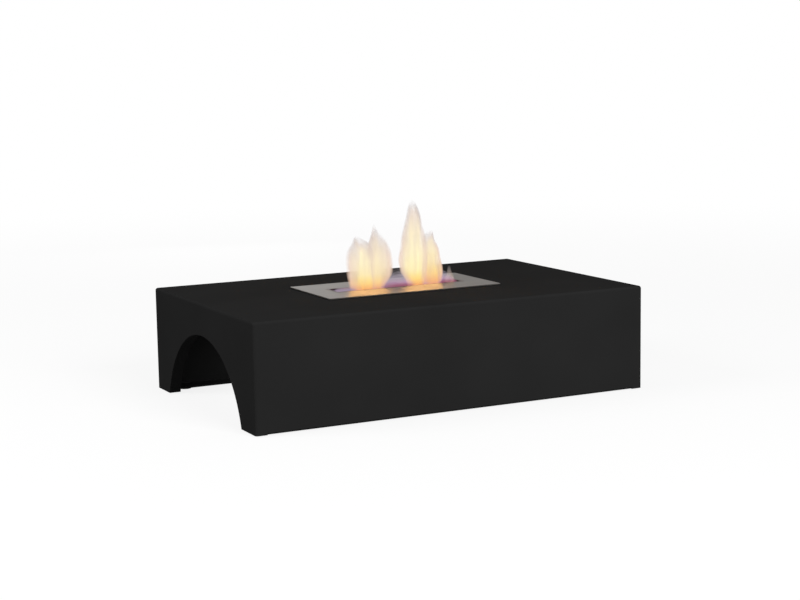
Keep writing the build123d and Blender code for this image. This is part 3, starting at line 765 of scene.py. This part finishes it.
# %% Flame material
FLAME_SEEN, FLAME_SHED = 1.12, 4.8  # strengths for the camera and for the light that is thrown
FLAME_LIGHT = "#FFC888"  # colour of the light that is thrown
WISP_WIDTH, WISP_HEIGHT = 9 * MM, 63 * MM
WISP_CONTRAST = {"From Min": 0.3, "From Max": 0.7, "To Min": 0.3, "To Max": 1.7}
NO_REFLECTION = {"Base Color": linear("#000000"), "Specular IOR Level": 0.0, "Roughness": 1.0}

fire, tree, place = new_material("burning_ethanol_gas")
kinds = ("rise", "warmth", "cover")
rise, warmth, cover = (add(tree, "Attribute", attribute_name=kind)["Fac"] for kind in kinds)
veil_stops = [
    (0.0, "#B08CA4"), (0.04, "#D8A490"), (0.1, "#E4BC9E"), (0.2, "#E0C5B2"),
    (0.45, "#E1C9B9"), (0.7, "#D0C1B9"), (1.0, "#B4AAA8"),
]
core_stops = [
    (0.0, "#FF9A30"), (0.05, "#FFBC44"), (0.1, "#FFD860"), (0.15, "#FFE984"),
    (0.22, "#FFF4B0"), (0.4, "#FFFAC4"), (0.62, "#FFF2C6"), (0.85, "#F1DCC8"),
]
veil = add(tree, "ValToRGB", {"Fac": rise}, stops=veil_stops)["Color"]
core = add(tree, "ValToRGB", {"Fac": rise}, stops=core_stops)["Color"]
upright = {"Vector": place, "Scale": (1 / WISP_WIDTH, 1 / WISP_WIDTH, 1 / WISP_HEIGHT)}
licked = add(tree, "Mapping", upright)["Vector"]
wisps = add(tree, "TexNoise", {"Vector": licked, "Scale": 1.0, "Detail": 3.0})["Fac"]
flicker = add(tree, "MapRange", {"Value": wisps, **WISP_CONTRAST})["Result"]
uneven = add(tree, "Math", {0: warmth, 1: flicker}, operation="MULTIPLY", use_clamp=True)["Value"]
layers = {"Factor": uneven, MIX_A: veil, MIX_B: core}
glow = add(tree, "Mix", layers, data_type="RGBA")[MIX_RESULT]
alpha = add(tree, "Math", {0: cover, 1: flicker}, operation="MULTIPLY", use_clamp=True)["Value"]
camera_ray = add(tree, "LightPath")["Is Camera Ray"]
seen_or_shed = {"Factor": camera_ray, MIX_A: linear(FLAME_LIGHT), MIX_B: glow}
colour = add(tree, "Mix", seen_or_shed, data_type="RGBA")[MIX_RESULT]
strengths = {"Value": camera_ray, "To Min": FLAME_SHED, "To Max": FLAME_SEEN}
strength = add(tree, "MapRange", strengths)["Result"]
gas = {"Emission Color": colour, "Emission Strength": strength, "Alpha": alpha, **NO_REFLECTION}
add(tree, "OutputMaterial", {"Surface": add(tree, "BsdfPrincipled", gas)["BSDF"]})
print(fire.name, "glows", FLAME_SEEN, "to the camera and", FLAME_SHED, "to the steel")

# %% [markdown]
# ### Flames and the shutter
#
# As the shutter slides forward it closes the slot and starves the flames, which sink to a film just
# above the covers, under the shutter. Here each tongue is made, keeps its values and casts no shadow.


def let_burn(piece, values):
    """Keep the values on the piece's vertices, let it cast no shadow, and give it a mesh of its own."""
    for kind, value in values.items():
        piece.data.attributes.new(kind, "FLOAT", "POINT").data.foreach_set("value", value)
    piece.visible_shadow = False
    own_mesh(piece)


for number, (name, levels) in enumerate(TONGUES.items()):
    skin, values = tongue(name, levels, number)
    let_burn(new_piece(f"{name}_gas", skin, fire, "burner", name), values)

# %% [markdown]
# ### Low blue gas
#
# All along the slot, and highest in the gap between the two groups, the gas burns low with too little
# soot to glow yellow. It glows violet at the slot's left end. From the gap to the right its colour is
# painted rose, standing for the orange light of the tongues that mixes in. Three flat domes, one inside
# the other, make it.

# %% Shape of the low gas
LOW_GAS_ROWS, LOW_GAS_COLUMNS = 24, 240
LOW_GAS_HALF = 133 * MM  # of its length, a little more than the slot's
LOW_GAS_TOP = MM * np.array([  # places along X and the gas's height there
    (-133, 10), (-118, 11), (-95, 10), (-50, 10), (-30, 14), (-18, 25), (-6, 35), (4, 39), (14, 38),
    (24, 31), (34, 20), (50, 14), (80, 14), (92, 22), (102, 27), (110, 24), (120, 17), (133, 6),
])
LOW_GAS_DEPTH = 0.6  # share of the flames' depth inside their feet; it widens to 1 at the slot's ends
LOW_GAS_NARROWING = 12 * MM  # of the half length, from a dome's share of 1 to 0
LOW_GAS_FOOT, LOW_GAS_CROWN = 0.05, 0.5  # shares of the height over which a dome closes to its poles
LOW_GAS_DOMES = (1.0, 0.85, 0.7)  # shares of the outer dome's size


def low_gas_grid(share):
    """A flat dome over the whole slot. The ring walks evenly along X, from one end of the slot to the
    other in front and back again behind. Its depth is the root of (1 - s ** 16), where s is the share of
    the half length, so it is a strip with round ends, and it widens with s ** 6. The depth shrinks with
    the root of what is left of the height, the length far less, with that root's tenth root, so the ends
    stand steep. The height follows the curve of tops."""
    climb = ((1 - np.cos(np.linspace(0, pi, LOW_GAS_ROWS))) / 2)[:, None]
    walk = np.linspace(0, 4, LOW_GAS_COLUMNS, endpoint=False)[None, :]
    along = np.where(walk < 2, walk - 1, 3 - walk)
    front_or_back = np.where(walk < 2, -1, 1)
    closing = np.sqrt(np.clip(np.minimum(climb / LOW_GAS_FOOT, (1 - climb) / LOW_GAS_CROWN), 0, 1))
    x = (LOW_GAS_HALF - (1 - share) * LOW_GAS_NARROWING) * closing**0.1 * along
    widening = LOW_GAS_DEPTH + (1 - LOW_GAS_DEPTH) * np.abs(x / LOW_GAS_HALF) ** 6
    across = front_or_back * np.sqrt(1 - along**16)
    y = FLAME_MIDDLE + FLAME_HALF_DEPTH * widening * share * closing * across
    top = smooth_curve(*LOW_GAS_TOP.T, x)
    return np.stack([x, y, FLAME_FOOT + top * share * climb], axis=-1)


low_gas_skin = join_skins([ring_skin(low_gas_grid(share)) for share in LOW_GAS_DOMES])
print(len(LOW_GAS_DOMES), "domes of low gas with", len(low_gas_skin[0]), "points")

# %% Blue gas material
LOW_GAS_CLOUD = 16 * MM
CLOUD_CONTRAST = {"To Min": 0.6, "To Max": 1.4}

blue_gas, tree, place = new_material("blue_zone_ethanol_gas")
kinds = ("rise", "tongue_light_tint", "cover")
rise, tongue_light_tint, cover = (add(tree, "Attribute", attribute_name=kind)["Fac"] for kind in kinds)
violet_stops = [(0.0, "#AC9AB0"), (0.15, "#A090A4"), (0.3, "#BCA8B0"), (0.9, "#ADA8AA")]
# painted light: the rose stops stand for the tongues' orange light mixed into the violet gas
painted_rose_light_stops = [(0.0, "#8C5468"), (0.18, "#A0647A"), (0.3, "#CCA4C4"), (0.5, "#BCB0C0"), (0.9, "#B0A8AC")]
violet = add(tree, "ValToRGB", {"Fac": rise}, stops=violet_stops)["Color"]
rose = add(tree, "ValToRGB", {"Fac": rise}, stops=painted_rose_light_stops)["Color"]
hue = add(tree, "Mix", {"Factor": tongue_light_tint, MIX_A: violet, MIX_B: rose}, data_type="RGBA")[MIX_RESULT]
clouds = add(tree, "TexNoise", {"Vector": place, "Scale": 1 / LOW_GAS_CLOUD})["Fac"]
ragged = add(tree, "MapRange", {"Value": clouds, **CLOUD_CONTRAST})["Result"]
alpha = add(tree, "Math", {0: cover, 1: ragged}, operation="MULTIPLY", use_clamp=True)["Value"]
low_gas = {"Emission Color": hue, "Emission Strength": 1.0, "Alpha": alpha, **NO_REFLECTION}
add(tree, "OutputMaterial", {"Surface": add(tree, "BsdfPrincipled", low_gas)["BSDF"]})
print(blue_gas.name, "for the low gas")

# %% Low gas along the slot
# painted light: between these places the violet gas is painted rose for the tongues' orange light
TONGUE_LIGHT_FROM, TONGUE_LIGHT_TO = -60 * MM, -5 * MM  # between which violet turns to rose
LOW_GAS_COVER = ((0, 0.3, 0.6, 1), (0.5, 0.16, 0.12, 0.02))  # rises, and a dome's cover there
LOW_GAS_SHARE = [  # places along X in mm and the share of that cover: the tongues burn most of it off
    (-133, 0.9), (-110, 0.9), (-100, 1), (-84, 0.15), (-40, 0.15), (-25, 1),
    (24, 1), (38, 0.1), (84, 0.1), (96, 1), (133, 0.7),
]

x, _, z = low_gas_skin[0].T
low_rise = (z - FLAME_FOOT) / LOW_GAS_TOP[:, 1].max()
low_values = {
    "rise": low_rise,
    "tongue_light_tint": np.clip((x - TONGUE_LIGHT_FROM) / (TONGUE_LIGHT_TO - TONGUE_LIGHT_FROM), 0, 1),
    "cover": np.interp(low_rise, *LOW_GAS_COVER) * np.interp(x / MM, *np.transpose(LOW_GAS_SHARE)),
}
haze = new_piece("low_blue_gas", low_gas_skin, blue_gas, "burner")
let_burn(haze, low_values)

# %% [markdown]
# ## Finish
#
# The view transform is Standard, so that a colour in the picture is the colour written above. A line
# of sight through the flames can cross some forty skins, more than the eight see-through surfaces that
# the renderer follows by itself, so it is allowed more.

# %% Finish
MOST_SKINS_CROSSED = 48
scene.view_settings.view_transform = "Standard"
scene.cycles.transparent_max_bounces = MOST_SKINS_CROSSED
